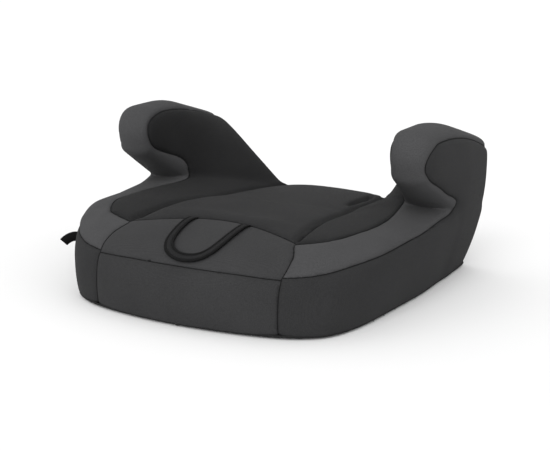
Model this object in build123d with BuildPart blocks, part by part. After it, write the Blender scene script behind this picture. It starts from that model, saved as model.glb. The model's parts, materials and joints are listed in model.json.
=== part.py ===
from build123d import *
import os

os.makedirs("parts", exist_ok=True)

# Backless booster seat: a padded cloth cover over a two-part plastic shell, with two
# armrests that curl forward over belt gaps, and a connector carriage that slides out
# of the back when the webbing loop at the front is pulled.
# Millimetres. X is the width, the front faces -Y, Z is up, the floor is z = 0.

# ---- overall body
cover_bottom = 3            # lower edge of the cover above the floor
body_top = 200
front_y = -200              # the front of the skirt at mid width
rear_y = 198                # the rear face of the cover
front_corner_radius = 42
rear_corner_radius = 22
skin = 3                    # cloth with its thin foam backing
fit_gap = 0.3               # clearance between layers and moving pieces

# plan outline at four heights:
# height, front y, front corner (x, y), widest point of the side (x, y), half width at the rear
plan_levels = (
    (cover_bottom, front_y + 3, (166, -163), (184, -20), 191),
    (45, front_y, (177, -160), (199, -20), 208),
    (120, front_y + 10, (188, -150), (218, 30), 225),
    (body_top, front_y + 14, (186, -146), (213, 30), 221),
)

# side view of an arm and its rail (y, z) with the radius at each corner
arm_outline = (
    (-230, -10, 0),
    (-230, 52, 0),
    (-196, 60, 18),
    (-128, 95, 30),
    (-60, 101, 60),
    (106, 99, 8),
    (-4, 143, 16),
    (-19, 200, 26),
    (74, 200, 90),
    (230, 160, 0),
    (230, -10, 0),
)
# side view of the seat between the arms (y, z, radius)
seat_outline = (
    (-230, -10, 0),
    (-230, 62, 0),
    (-188, 65, 16),
    (-112, 93, 12),
    (-94, 101, 12),
    (10, 103, 80),
    (110, 98, 120),
    (230, 82, 0),
    (230, -10, 0),
)
# the hollow between the arms: y, then half of its section as (x, z)
bowl_sections = (
    (-240, ((0, 40), (84, 42), (110, 60), (116, 66), (122, 215), (0, 215))),
    (-125, ((0, 74), (84, 76), (108, 91), (138, 98), (146, 215), (0, 215))),
    (75, ((0, 84), (95, 88), (150, 105), (155, 116), (157, 215), (0, 215))),
    (235, ((0, 72), (42, 72), (142, 152), (156, 166), (162, 215), (0, 215))),
)
bowl_top = 215
seat_edge = ((113, -230), (113, -176), (106, -129), (95, -80), (100, -10), (101, 40), (85, 158), (46, 230))
arm_inner_limit = 40        # no arm material nearer to the middle than this

# ---- cover seams
skirt_seam_x = 113          # the two upright seams of the front skirt
skirt_seam_z = 63
seat_front_seam = ((-106, -129), (0, -111), (106, -129))
outer_seam = (              # side view (y, z) of the seam between the side cloth and the arm band
    (-240, -20), (-240, 60), (-175, 63), (-136, 71), (-86, 82), (-35, 84), (4, 89), (50, 95), (91, 101),
    (68, 110), (45, 122), (8, 137), (1, 149), (0, 161), (10, 175), (35, 181), (101, 175), (150, 163),
    (240, 140), (240, -20),
)
inner_seam = (              # side view (y, z) of the seam round the inside of the armrest
    (240, 40), (88, 40), (88, 105), (86, 117), (74, 124), (47, 135), (20, 145), (6, 155), (2, 169),
    (6, 181), (20, 188), (46, 191), (90, 188), (150, 176), (240, 152),
)
rail_seam = ((106, -129), (138, -119), (162, -71), (163, -6), (154, 52), (150, 90))   # plan (x, y)

# ---- padding and shell
seat_padding = 24           # cover surface to shell deck
arm_padding = 11            # cover surface to arm shell
wall = 3                    # plastic wall
base_z = 4                  # underside of the base plate
base_thickness = 4
base_top = base_z + base_thickness
boss_places = ((150, -105), (162, 0), (168, 110), (60, -168), (60, 165))
rail_screw_places = ((140, 44), (140, 160))
arm_screw_places = ((172, 130), (186, 178))
boss_radius = 6
screw_depth = 12
screw_radius = 2
screw_head_radius = 4.5
recess_length = 5            # cross recess of a screw head
recess_width = 1
recess_depth = 2.4
arm_screw_radius = 1.6
foot_places = ((128, -128), (128, 128))
foot_radius = 14
foot_stem_radius = 4
hem_bottom = 1.6
hem_thickness = 1.3
hem_width = 14
label_place = (-188.5, -138, 68)
label_size = (12, 1.6, 13)
bezel_size = 40

# ---- connector carriage
connector_x = 140           # half the spacing of the two anchor points
rail_width = 34
rail_wall = 2.5
rail_bottom = 14
rail_middle_z = rail_bottom + rail_width / 2
rail_front = 20
rail_rear = 187
rail_lip = 6
bar_thickness = 6
bar_height = 20
bar_front = 36
bar_rear = 160
carriage_travel = 90
notch_pitch = 12
housing_size = 27
housing_front = 139
housing_rear = 197
jaw_height = 8
jaw_middle_z = 26
jaw_depth = 24
hook_pivot = (166, 35)      # (y, z)
hook_thickness = 5
hook_slot = 6
hook_pin_radius = 2
hook_slot_front = 158
hook_slot_rear = 195
recess_front = 144
recess_rear = 174
slider_front = 146
slider_length = 16
slider_width = 10
slider_bottom = 41
slider_height = 3.2
crossbar_y = 47
crossbar_depth = 16
crossbar_height = 14
crossbar_end_x = connector_x - bar_thickness / 2
crossbar_rivet_y = (43, 51)
rivet_radius = 2
housing_rivet_y = 152

# ---- front release
pull_travel = 15
pin_y = 130
pin_radius = 4
pin_collar_radius = 8
pin_bottom = rail_middle_z + bar_height / 2 + 0.5
pin_top = 61.5
pin_lift = 5
yoke_bottom = 51
yoke_top = 55
collar_bottom = 55.6
collar_height = 3
spring_top = 66.3
pin_slot_y = 137.5
pin_slot_length = 26
ramp_front = 138.5
ramp_rear = 154
ramp_top = yoke_top + (ramp_rear - ramp_front) * pin_lift / pull_travel
strap_width = 10
strap_thickness = 3
strap_leg_x = 40
strap_z = 95.3              # middle of the webbing where it enters the seam
strap_seam_y = -112
post_x = 52                 # posts of the release yoke, either side of the webbing
post_width = 8
post_slot_y = -82
post_slot_length = 30
pocket_front = -122
pocket_rear = -63
pocket_half_width = 60
bar_y = -74
bar_z = 94.2
eye_radius = 3.4
loop_front_y = -176
bow_z = 71.8                # middle of the webbing at the front of the loop


def plan_sketch(level, inset):
    """The body's outline at one height, moved in from the surface by inset."""
    height, front, corner, side, rear_x = level
    corner_x = corner[0] - inset
    corner_y = corner[1] + inset
    with BuildSketch(Plane.XY.offset(height)) as outline:
        with BuildLine():
            ThreePointArc((-corner_x, corner_y), (0, front + inset), (corner_x, corner_y))
            ThreePointArc((corner_x, corner_y), (side[0] - inset, side[1]), (rear_x - inset, rear_y - inset))
            Line((rear_x - inset, rear_y - inset), (inset - rear_x, rear_y - inset))
            ThreePointArc((inset - rear_x, rear_y - inset), (inset - side[0], side[1]), (-corner_x, corner_y))
        make_face()
        corners = outline.vertices().group_by(Axis.Y)
        fillet(corners[0], radius=max(front_corner_radius - inset, 6))
        corners = outline.vertices().group_by(Axis.Y)
        fillet(corners[-1], radius=max(rear_corner_radius - inset, 6))
    return outline.sketch


def outer_body(inset):
    """Everything inside the side walls, the front and the back, up to the top."""
    with BuildPart() as body:
        for level in plan_levels:
            add(plan_sketch(level, inset))
        loft()
    return body.part


def side_view(outline, inset, drop, x_from, x_to):
    """A side-view outline, made smaller by inset and lowered by drop, as a prism along X."""
    with BuildPart() as prism:
        with BuildSketch(Plane.YZ.offset(x_from)) as profile:
            with BuildLine():
                Polyline(*[(y, z - drop) for y, z, radius in outline], close=True)
            make_face()
            for y, z, radius in outline:
                if radius:
                    corner = profile.vertices().sort_by_distance((y, z - drop, 0))[0]
                    fillet(corner, radius=radius)
            if inset:
                offset(amount=-inset, kind=Kind.INTERSECTION)
        extrude(amount=x_to - x_from)
    return prism.part


def bowl(inset):
    """The hollow between the arms, made larger by inset."""
    with BuildPart() as hollow:
        for y, half in bowl_sections:
            grown = [(x + inset if x else 0, z if z == bowl_top else z - inset) for x, z in half]
            right = grown[1:-1]
            left = [(-x, z) for x, z in reversed(right)]
            with BuildSketch(Plane.XZ.offset(-y)):
                with BuildLine():
                    Polyline(*right, *left, close=True)
                make_face()
        loft(ruled=True)
    return hollow.part


def plan_prism(points, margin, low, high):
    """A prism between two heights over a plan outline given for x > 0 and mirrored."""
    right = [(x + margin, y) for x, y in points]
    left = [(-x, y) for x, y in reversed(right)]
    with BuildPart() as prism:
        with BuildSketch(Plane.XY.offset(low)):
            with BuildLine():
                Polyline(*right, *left, close=True)
            make_face()
        extrude(amount=high - low)
    return prism.part


def seat_body(inset, drop):
    """The low part of the body, under the seat profile lowered by drop."""
    with BuildPart() as body:
        add(outer_body(inset))
        add(side_view(seat_outline, 0, drop, -240, 240), mode=Mode.INTERSECT)
    return body.part


def arm_body(inset):
    """Both arms with their rails, solid down to the bottom, moved in by inset."""
    with BuildPart() as arms:
        add(outer_body(inset))
        with BuildPart(mode=Mode.PRIVATE) as sides:
            add(side_view(arm_outline, inset, 0, arm_inner_limit + inset, 240))
            add(side_view(arm_outline, inset, 0, -240, -arm_inner_limit - inset))
        add(sides.part, mode=Mode.INTERSECT)
        add(bowl(inset), mode=Mode.SUBTRACT)
    return arms.part


def whole_body(inset):
    with BuildPart() as body:
        add(seat_body(inset, inset))
        add(arm_body(inset))
    return body.part


def mirrored(places):
    """Each (x, y) place with its twin on the other side."""
    return [(side * x, y) for x, y in places for side in (-1, 1)]


def deck_height(y):
    """Height of the shell deck's upper face on the straight part of the seat profile."""
    (y_from, z_from, _), (y_to, z_to, _) = seat_outline[-3], seat_outline[-2]
    return z_from + (y - y_from) * (z_to - z_from) / (y_to - y_from) - seat_padding


def save(part, name):
    part.label = name
    export_step(part, f"parts/{name}.step")


def save_pair(part, name):
    """The left piece is at -X, the right piece is its mirror image."""
    save(part, f"left_{name}")
    save(mirror(part, about=Plane.YZ), f"right_{name}")


def largest(part):
    """The main solid of a part, without slivers left where two seams meet."""
    return Part() + part.solids().sort_by(SortBy.VOLUME)[-1]


def half_space(x_sign):
    """A block over one side of the seat."""
    return Pos(x_sign * 150, 0, 100) * Box(300, 600, 400)


# ---------------------------------------------------------------- cover
full_body = whole_body(0)
cover_inside = whole_body(skin)
deck_zone = seat_body(-20, seat_padding - fit_gap)
left_side = half_space(-1)

with BuildPart() as cover:
    add(full_body)
    add(cover_inside, mode=Mode.SUBTRACT)

with BuildPart() as seat_zone:
    add(plan_prism(seat_edge, 0, -20, 230))

with BuildPart() as front_zone:
    # ahead of the arched seam between the seat cloth and the front top cloth
    with BuildSketch(Plane.XY.offset(-20)):
        with BuildLine():
            ThreePointArc(*seat_front_seam)
            Polyline(seat_front_seam[2], (300, -129), (300, -300), (-300, -300), (-300, -129), seat_front_seam[0])
        make_face()
    extrude(amount=260)

with BuildPart() as skirt_zone:
    with Locations((0, -240, skirt_seam_z - 100)):
        Box(2 * skirt_seam_x, 200, 200)

with BuildPart() as back_zone:
    with Locations((0, rear_y, 100)):
        Box(600, 2 * skin, 400)

with BuildPart() as outer_zone:
    # the side cloth: beside the front skirt, round the corner and along the side, outside the arm
    for x_from, x_to, y_limit in ((skirt_seam_x, 240, -110), (170, 240, 300)):
        with BuildPart(mode=Mode.PRIVATE) as slab:
            with BuildSketch(Plane.YZ.offset(-x_to)):
                with BuildLine():
                    Polyline(*outer_seam, close=True)
                make_face()
            extrude(amount=x_to - x_from)
            split(bisect_by=Plane.XZ.offset(-y_limit), keep=Keep.TOP)
        add(slab.part)

with BuildPart() as inner_zone:
    # the cloth inside the arm: the horn's inner face and the strip inside the rail seam
    with BuildSketch(Plane.YZ.offset(-186)):
        with BuildLine():
            Polyline(*inner_seam, close=True)
        make_face()
    extrude(amount=186)
    with BuildSketch(Plane.XY.offset(60)):
        with BuildLine():
            Polyline((0, -129), *[(-x, y) for x, y in rail_seam], (0, 90), close=True)
        make_face()
    extrude(amount=58)

with BuildPart() as front_skirt:
    add(cover.part)
    add(skirt_zone.part, mode=Mode.INTERSECT)
save(front_skirt.part, "front_skirt")


def connector_windows(size):
    """Square prisms through the back wall, one over each connector."""
    return Pos(-connector_x, rear_y, rail_middle_z) * Box(size, 60, size) + (
        Pos(connector_x, rear_y, rail_middle_z) * Box(size, 60, size)
    )


def leg_channels(width, y_from, y_to, low, high):
    """Two boxes over the legs of the webbing loop."""
    middle = (y_from + y_to) / 2
    boxes = [
        Pos(x, middle, (low + high) / 2) * Box(width, y_to - y_from, high - low)
        for x in (-strap_leg_x, strap_leg_x)
    ]
    return boxes[0] + boxes[1]


webbing_slots = leg_channels(strap_width + 4, -118, -90, strap_z - 3, strap_z + 4)
rear_windows = connector_windows(bezel_size - 3.5)

with BuildPart() as front_top_panel:
    add(cover.part)
    add(seat_zone.part, mode=Mode.INTERSECT)
    add(front_zone.part, mode=Mode.INTERSECT)
    add(skirt_zone.part, mode=Mode.SUBTRACT)
    add(webbing_slots, mode=Mode.SUBTRACT)
save(front_top_panel.part, "front_top_panel")

with BuildPart() as seat_panel:
    add(cover.part)
    add(seat_zone.part, mode=Mode.INTERSECT)
    add(front_zone.part, mode=Mode.SUBTRACT)
    add(back_zone.part, mode=Mode.SUBTRACT)
    add(webbing_slots, mode=Mode.SUBTRACT)
save(largest(seat_panel.part), "seat_panel")

with BuildPart() as outer_panel:
    add(cover.part)
    add(outer_zone.part, mode=Mode.INTERSECT)
    add(skirt_zone.part, mode=Mode.SUBTRACT)
    add(back_zone.part, mode=Mode.SUBTRACT)
save_pair(outer_panel.part, "outer_panel")

with BuildPart() as inner_panel:
    add(cover.part)
    add(inner_zone.part, mode=Mode.INTERSECT)
    add(outer_zone.part, mode=Mode.SUBTRACT)
    add(seat_zone.part, mode=Mode.SUBTRACT)
    add(back_zone.part, mode=Mode.SUBTRACT)
save_pair(largest(inner_panel.part), "inner_panel")

with BuildPart() as arm_band:
    add(cover.part)
    add(left_side, mode=Mode.INTERSECT)
    for zone in (outer_zone, inner_zone, seat_zone, skirt_zone, back_zone):
        add(zone.part, mode=Mode.SUBTRACT)
save_pair(largest(arm_band.part), "arm_band")

with BuildPart() as back_panel:
    add(cover.part)
    add(back_zone.part, mode=Mode.INTERSECT)
    add(rear_windows, mode=Mode.SUBTRACT)
save(back_panel.part, "back_panel")

with BuildPart() as cover_hem:
    # elastic binding that turns under the shell all the way round
    with BuildSketch(Plane.XY.offset(hem_bottom)):
        add(plan_sketch((0, *plan_levels[0][1:]), 1))
        add(plan_sketch((0, *plan_levels[0][1:]), 1 + hem_width), mode=Mode.SUBTRACT)
    extrude(amount=hem_thickness)
save(cover_hem.part, "cover_hem")

with BuildPart() as side_label:
    # blank folded tab sewn into the seam at the front left corner
    with Locations(label_place):
        Box(*label_size)
    fillet(side_label.edges().filter_by(Axis.Y).group_by(Axis.X)[0], radius=1)
    add(full_body, mode=Mode.SUBTRACT)
save(side_label.part, "side_label")

# ---------------------------------------------------------------- padding and shell
padding_space = whole_body(skin + fit_gap)
arm_shell_space = arm_body(arm_padding)

with BuildPart() as seat_foam:
    add(padding_space)
    add(plan_prism(seat_edge, -fit_gap, -20, 230), mode=Mode.INTERSECT)
    add(deck_zone, mode=Mode.SUBTRACT)
    # shallow channel for the webbing and its bar, and slots for the two posts
    with Locations((0, (pocket_front + pocket_rear) / 2, bar_z - eye_radius - 1)):
        Box(2 * pocket_half_width, pocket_rear - pocket_front, 20,
            align=(Align.CENTER, Align.CENTER, Align.MIN), mode=Mode.SUBTRACT)
    with Locations((-post_x, post_slot_y, strap_z), (post_x, post_slot_y, strap_z)):
        Box(post_width + 4, post_slot_length, 60, mode=Mode.SUBTRACT)
save(seat_foam.part, "seat_foam")

with BuildPart() as arm_foam:
    add(padding_space)
    add(left_side, mode=Mode.INTERSECT)
    add(plan_prism(seat_edge, fit_gap, -20, 230), mode=Mode.SUBTRACT)
    add(deck_zone, mode=Mode.SUBTRACT)
    add(arm_body(arm_padding - fit_gap), mode=Mode.SUBTRACT)
save_pair(arm_foam.part, "arm_foam")

with BuildPart() as arm_shell:
    add(arm_shell_space)
    add(left_side, mode=Mode.INTERSECT)
    add(deck_zone, mode=Mode.SUBTRACT)
    add(plan_prism(seat_edge, fit_gap, -20, 230), mode=Mode.SUBTRACT)
    with BuildPart(mode=Mode.PRIVATE) as hollow:
        add(arm_body(arm_padding + wall))
        add(seat_body(-20, seat_padding - fit_gap - wall), mode=Mode.SUBTRACT)
        add(plan_prism(seat_edge, fit_gap + wall, -20, 230), mode=Mode.SUBTRACT)
    add(hollow.part, mode=Mode.SUBTRACT)
    with Locations(*[(-x, y, deck_height(y)) for x, y in arm_screw_places]):
        Cylinder(arm_screw_radius, 30, mode=Mode.SUBTRACT)
save_pair(arm_shell.part, "arm_shell")

with BuildPart() as seat_shell:
    add(seat_body(skin + fit_gap, seat_padding))
    with BuildPart(mode=Mode.PRIVATE) as inside:
        add(seat_body(skin + fit_gap + wall, seat_padding + wall))
        with Locations(*[(x, y, 60) for x, y in mirrored(boss_places)]):
            Cylinder(boss_radius, 2 * (60 - base_top - fit_gap), mode=Mode.SUBTRACT)
    add(inside.part, mode=Mode.SUBTRACT)
    with Locations(*[(x, y, base_top) for x, y in mirrored(boss_places)]):
        Cylinder(screw_radius, 2 * screw_depth, mode=Mode.SUBTRACT)
    add(rear_windows, mode=Mode.SUBTRACT)
    with Locations(*[(x, y, deck_height(y)) for x, y in mirrored(arm_screw_places)]):
        Cylinder(arm_screw_radius, 20, mode=Mode.SUBTRACT)
    with Locations((-post_x, post_slot_y, 75), (post_x, post_slot_y, 75)):
        Box(post_width + 4, post_slot_length, 40, mode=Mode.SUBTRACT)
save(seat_shell.part, "seat_shell")

with BuildPart() as base_cover:
    add(outer_body(skin + 2 * fit_gap + wall))
    with Locations((0, 0, base_z + base_thickness / 2)):
        Box(500, 500, base_thickness, mode=Mode.INTERSECT)
    # stiffening grooves in the underside
    with Locations(*[(0, y, base_z) for y in range(-100, 141, 40)]):
        Box(170, 8, 2, mode=Mode.SUBTRACT)
    screw_holes = mirrored(boss_places) + mirrored(rail_screw_places)
    with Locations(*[(x, y, base_z) for x, y in screw_holes]):
        Cylinder(screw_radius + fit_gap, 20, mode=Mode.SUBTRACT)
        Cylinder(screw_head_radius + fit_gap, 4.6, mode=Mode.SUBTRACT)
    with Locations(*[(x, y, base_z) for x, y in mirrored(foot_places)]):
        Cylinder(foot_stem_radius, 20, mode=Mode.SUBTRACT)
save(base_cover.part, "base_cover")


def pan_screws(places, length):
    """Screws pushed up through the base plate, heads sunk in its underside."""
    with BuildPart() as screws:
        with Locations(*[(x, y, base_z + 0.3) for x, y in places]):
            Cylinder(screw_head_radius, 1.9, align=(Align.CENTER, Align.CENTER, Align.MIN))
            Cylinder(screw_radius, length, align=(Align.CENTER, Align.CENTER, Align.MIN))
        chamfer(screws.faces().filter_by(Axis.Z).group_by(Axis.Z)[0].edges(), length=0.5)
        # cross recess
        with Locations(*[(x, y, base_z) for x, y in places]):
            Box(recess_length, recess_width, recess_depth, mode=Mode.SUBTRACT)
            Box(recess_width, recess_length, recess_depth, mode=Mode.SUBTRACT)
    return screws.part


save(pan_screws(mirrored(boss_places), screw_depth + 2), "base_screws")
save(pan_screws(mirrored(rail_screw_places), 9), "rail_screws")

with BuildPart() as arm_screws:
    # from under the deck up into the floor of each arm shell
    for x, y in mirrored(arm_screw_places):
        deck = deck_height(y)
        with Locations((x, y, deck - wall - 1)):
            Cylinder(screw_head_radius - 1, 2, align=(Align.CENTER, Align.CENTER, Align.MAX))
            Cylinder(arm_screw_radius, 12, align=(Align.CENTER, Align.CENTER, Align.MIN))
save(arm_screws.part, "arm_screws")

with BuildPart() as rubber_feet:
    with Locations(*[(x, y, 0) for x, y in mirrored(foot_places)]):
        Cylinder(foot_radius, base_z, align=(Align.CENTER, Align.CENTER, Align.MIN))
        Cylinder(foot_stem_radius, base_top, align=(Align.CENTER, Align.CENTER, Align.MIN))
    fillet(rubber_feet.edges().group_by(Axis.Z)[0], radius=1.5)
save(rubber_feet.part, "rubber_feet")

# ---------------------------------------------------------------- connector carriage
rail_inside = rail_width - 2 * rail_wall

with BuildPart() as guide_rail:
    # channel with a lipped opening towards the middle of the seat, on two pads
    with Locations((-connector_x, (rail_front + rail_rear) / 2, rail_middle_z)):
        Box(rail_width, rail_rear - rail_front, rail_width)
        Box(rail_inside, rail_rear - rail_front, rail_inside, mode=Mode.SUBTRACT)
    with Locations((-connector_x + rail_width / 2, (rail_front + rail_rear) / 2, rail_middle_z)):
        Box(3 * rail_wall, rail_rear - rail_front, rail_inside - 2 * rail_lip + rail_wall, mode=Mode.SUBTRACT)
    rail_pads = [(-x, y, base_top) for x, y in rail_screw_places]
    with Locations(*rail_pads):
        Box(22, 16, rail_bottom - base_top, align=(Align.CENTER, Align.CENTER, Align.MIN))
    with Locations(*rail_pads):
        Cylinder(screw_radius, 30, mode=Mode.SUBTRACT)
    with Locations((-connector_x, pin_y, rail_bottom + rail_width)):
        Cylinder(pin_radius + fit_gap, 10, mode=Mode.SUBTRACT)
save_pair(guide_rail.part, "guide_rail")

with BuildPart() as rear_bezels:
    bezel_places = [(x, rear_y, rail_middle_z) for x in (-connector_x, connector_x)]
    with Locations(*bezel_places):
        Box(bezel_size, 2, bezel_size, align=(Align.CENTER, Align.MIN, Align.CENTER))
    chamfer(rear_bezels.faces().sort_by(Axis.Y)[-1].edges(), length=0.8)
    chamfer(rear_bezels.faces().sort_by(Axis.Y)[-2].edges(), length=0.8)
    with Locations(*bezel_places):
        Box(bezel_size - 4.5, rear_y - rail_rear - 1, bezel_size - 4.5, align=(Align.CENTER, Align.MAX, Align.CENTER))
        Box(bezel_size - 10, 40, bezel_size - 10, mode=Mode.SUBTRACT)
save(rear_bezels.part, "rear_bezels")

with BuildPart() as connector_arm:
    with Locations((-connector_x, (bar_front + bar_rear) / 2, rail_middle_z)):
        Box(bar_thickness, bar_rear - bar_front, bar_height)
    # a row of notches along the top edge for the lock pin
    notch_count = int((bar_rear - pin_y - 8 + carriage_travel) / notch_pitch)
    notches = [
        (-connector_x, pin_y - carriage_travel + index * notch_pitch, rail_middle_z + bar_height / 2)
        for index in range(notch_count)
    ]
    with Locations(*[place for place in notches if bar_front + 8 < place[1] < housing_front - 8]):
        Box(20, 7, 6, mode=Mode.SUBTRACT)
    with Locations(*[Location((-connector_x, y, rail_middle_z), (0, 90, 0)) for y in crossbar_rivet_y]):
        Cylinder(rivet_radius, 20, mode=Mode.SUBTRACT)
    with Locations(Location((-connector_x, housing_rivet_y, rail_middle_z), (0, 90, 0))):
        Cylinder(rivet_radius, 20, mode=Mode.SUBTRACT)
save_pair(connector_arm.part, "connector_arm")

with BuildPart() as crossbar:
    # folded steel channel between the two arms, with a flange riveted to each
    with Locations((0, crossbar_y, rail_middle_z)):
        Box(2 * crossbar_end_x, crossbar_depth, crossbar_height)
    with Locations((0, crossbar_y - 2, rail_middle_z)):
        Box(2 * crossbar_end_x - 20, crossbar_depth, crossbar_height - 4, mode=Mode.SUBTRACT)
    with Locations(*[Location((0, y, rail_middle_z), (0, 90, 0)) for y in crossbar_rivet_y]):
        Cylinder(rivet_radius, 2 * crossbar_end_x + 2, mode=Mode.SUBTRACT)
save(crossbar.part, "crossbar")

with BuildPart() as crossbar_rivets:
    for side in (-1, 1):
        for y in crossbar_rivet_y:
            with Locations(Location((side * connector_x, y, rail_middle_z), (0, -side * 90, 0))):
                Cylinder(rivet_radius, 16, align=(Align.CENTER, Align.CENTER, Align.CENTER))
            with Locations(Location((side * (connector_x + bar_thickness / 2), y, rail_middle_z), (0, side * 90, 0))):
                Cylinder(rivet_radius + 1.5, 1.5, align=(Align.CENTER, Align.CENTER, Align.MIN))
save(crossbar_rivets.part, "crossbar_rivets")

with BuildPart() as connector_housing:
    housing_length = housing_rear - housing_front
    housing_middle = (-connector_x, (housing_front + housing_rear) / 2, rail_middle_z)
    with Locations(housing_middle):
        Box(housing_size, housing_length, housing_size)
    fillet(connector_housing.edges().filter_by(Axis.Y), radius=3)
    # pocket for the end of the steel arm
    with Locations((-connector_x, bar_rear - 10, rail_middle_z)):
        Box(bar_thickness + 0.1, 40, bar_height + 0.1, mode=Mode.SUBTRACT)
    # jaw, open to the rear across the whole width
    with Locations((-connector_x, housing_rear - jaw_depth / 2, jaw_middle_z)):
        Box(housing_size + 2, jaw_depth, jaw_height, mode=Mode.SUBTRACT)
    # slot for the latch hook, open at the top
    with Locations((-connector_x, hook_slot_rear, rail_middle_z - 11)):
        Box(hook_slot, hook_slot_rear - hook_slot_front, 40,
            align=(Align.CENTER, Align.MAX, Align.MIN), mode=Mode.SUBTRACT)
    # recess for the release slider
    with Locations((-connector_x, recess_front, slider_bottom - fit_gap)):
        Box(slider_width + 1, recess_rear - recess_front, 10,
            align=(Align.CENTER, Align.MIN, Align.MIN), mode=Mode.SUBTRACT)
    with Locations(Location((-connector_x, *hook_pivot), (0, 90, 0))):
        Cylinder(hook_pin_radius, 40, mode=Mode.SUBTRACT)
    with Locations(Location((-connector_x, housing_rivet_y, rail_middle_z), (0, 90, 0))):
        Cylinder(rivet_radius, 40, mode=Mode.SUBTRACT)
save_pair(connector_housing.part, "connector_housing")

with BuildPart() as housing_rivets:
    for side in (-1, 1):
        with Locations(Location((side * connector_x, housing_rivet_y, rail_middle_z), (0, 90, 0))):
            Cylinder(rivet_radius, housing_size)
save(housing_rivets.part, "housing_rivets")

with BuildPart() as hook_pins:
    for side in (-1, 1):
        with Locations(Location((side * connector_x, *hook_pivot), (0, 90, 0))):
            Cylinder(hook_pin_radius, housing_size)
save(hook_pins.part, "hook_pins")

with BuildPart() as latch_hook:
    # steel plate hook that drops behind the anchor bar
    with BuildSketch(Plane.YZ.offset(-connector_x - hook_thickness / 2)):
        pivot_y, pivot_z = hook_pivot
        with BuildLine():
            Polyline(
                (pivot_y, pivot_z - 3), (pivot_y + 15, pivot_z - 2), (pivot_y + 16, pivot_z - 4),
                (pivot_y + 20, pivot_z - 4), (pivot_y + 24, pivot_z), (pivot_y + 22, pivot_z + 3.5),
                (pivot_y, pivot_z + 3.5), close=True,
            )
        make_face()
        with Locations(hook_pivot):
            Circle(4.5)
            Circle(hook_pin_radius + 0.06, mode=Mode.SUBTRACT)
    extrude(amount=hook_thickness)
save_pair(latch_hook.part, "latch_hook")

with BuildPart() as release_slider:
    with Locations((-connector_x, slider_front, slider_bottom)):
        Box(slider_width, slider_length, slider_height, align=(Align.CENTER, Align.MIN, Align.MIN))
    # finger ridges
    ridge_places = [(-connector_x, slider_front + 3 + 3 * index, slider_bottom + slider_height) for index in range(4)]
    with Locations(*ridge_places):
        Box(slider_width - 3, 1.2, 1.2, mode=Mode.SUBTRACT)
save_pair(release_slider.part, "release_slider")


def coil_spring(radius, wire, pitch, height, place, direction):
    """A round-wire compression spring."""
    with BuildPart() as spring:
        with BuildLine() as path:
            Helix(pitch=pitch, height=height, radius=radius, center=place, direction=direction)
        with BuildSketch(Plane(origin=path.line @ 0, z_dir=path.line % 0)):
            Circle(wire / 2)
        sweep(is_frenet=True)
    return spring.part


slider_spring = coil_spring(
    1.5, 0.6, 1.9, recess_rear - slider_front - slider_length - 1.4,
    (-connector_x, slider_front + slider_length + 0.6, slider_bottom + slider_height / 2), (0, 1, 0),
)
save_pair(slider_spring, "slider_spring")

# ---------------------------------------------------------------- front release
with BuildPart() as release_yoke:
    # flat frame over the two rails, with two posts up to the webbing and a pair of ramps at each pin
    yoke_middle = (yoke_bottom + yoke_top) / 2
    yoke_height = yoke_top - yoke_bottom
    with Locations((0, bar_y, yoke_middle)):
        Box(2 * (connector_x + 9), 16, yoke_height)
    with Locations((-connector_x, bar_y, yoke_middle), (connector_x, bar_y, yoke_middle)):
        Box(18, ramp_rear + 4 - bar_y, yoke_height, align=(Align.CENTER, Align.MIN, Align.CENTER))
    with Locations((-connector_x, pin_slot_y, yoke_middle), (connector_x, pin_slot_y, yoke_middle)):
        Box(2 * pin_radius + 0.8, pin_slot_length, 10, mode=Mode.SUBTRACT)
    for x in (-connector_x - 9, -connector_x + 4.4, connector_x - 9, connector_x + 4.4):
        with BuildSketch(Plane.YZ.offset(x)):
            with BuildLine():
                Polyline((ramp_front, yoke_top), (ramp_rear, yoke_top), (ramp_rear, ramp_top), close=True)
            make_face()
        extrude(amount=4.6)
    with Locations((-post_x, bar_y, yoke_bottom), (post_x, bar_y, yoke_bottom)):
        Box(post_width, 8, bar_z + 3 - yoke_bottom, align=(Align.CENTER, Align.CENTER, Align.MIN))
    with Locations(Location((0, bar_y, bar_z), (0, 90, 0))):
        Cylinder(hook_pin_radius, 200, mode=Mode.SUBTRACT)
save(release_yoke.part, "release_yoke")

with BuildPart() as strap_bar:
    with Locations(Location((0, bar_y, bar_z), (0, 90, 0))):
        Cylinder(hook_pin_radius, 2 * post_x + post_width)
save(strap_bar.part, "strap_bar")

with BuildPart() as lock_pin:
    pin_place = (-connector_x, pin_y, pin_bottom)
    with Locations(pin_place):
        Cylinder(pin_radius, pin_top - pin_bottom, align=(Align.CENTER, Align.CENTER, Align.MIN))
    with Locations((-connector_x, pin_y, collar_bottom)):
        Cylinder(pin_collar_radius, collar_height, align=(Align.CENTER, Align.CENTER, Align.MIN))
    chamfer(lock_pin.faces().sort_by(Axis.Z)[0].edges(), length=1)
save_pair(lock_pin.part, "lock_pin")

lock_spring = coil_spring(
    5.2, 1, 2.4, spring_top - collar_bottom - collar_height - 1.6,
    (-connector_x, pin_y, collar_bottom + collar_height + 0.8), (0, 0, 1),
)
save_pair(lock_spring, "lock_spring")

# webbing loop: two legs run under the seat cloth to the bar, the bow lies on the front top cloth
bow_slope = (strap_z - bow_z) / (strap_seam_y - loop_front_y)
bow_length = (strap_seam_y - loop_front_y) * (1 + bow_slope**2) ** 0.5
half = strap_width / 2


def bow_spline(side):
    """One edge of the bow, half a width to either side of its middle line."""
    return Spline(
        (-strap_leg_x - side, 0), (-strap_leg_x + 1 - side, -bow_length * 0.6), (0, -bow_length + half - side),
        (strap_leg_x - 1 + side, -bow_length * 0.6), (strap_leg_x + side, 0),
        tangents=((0, -1), (0, 1)),
    )


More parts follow.
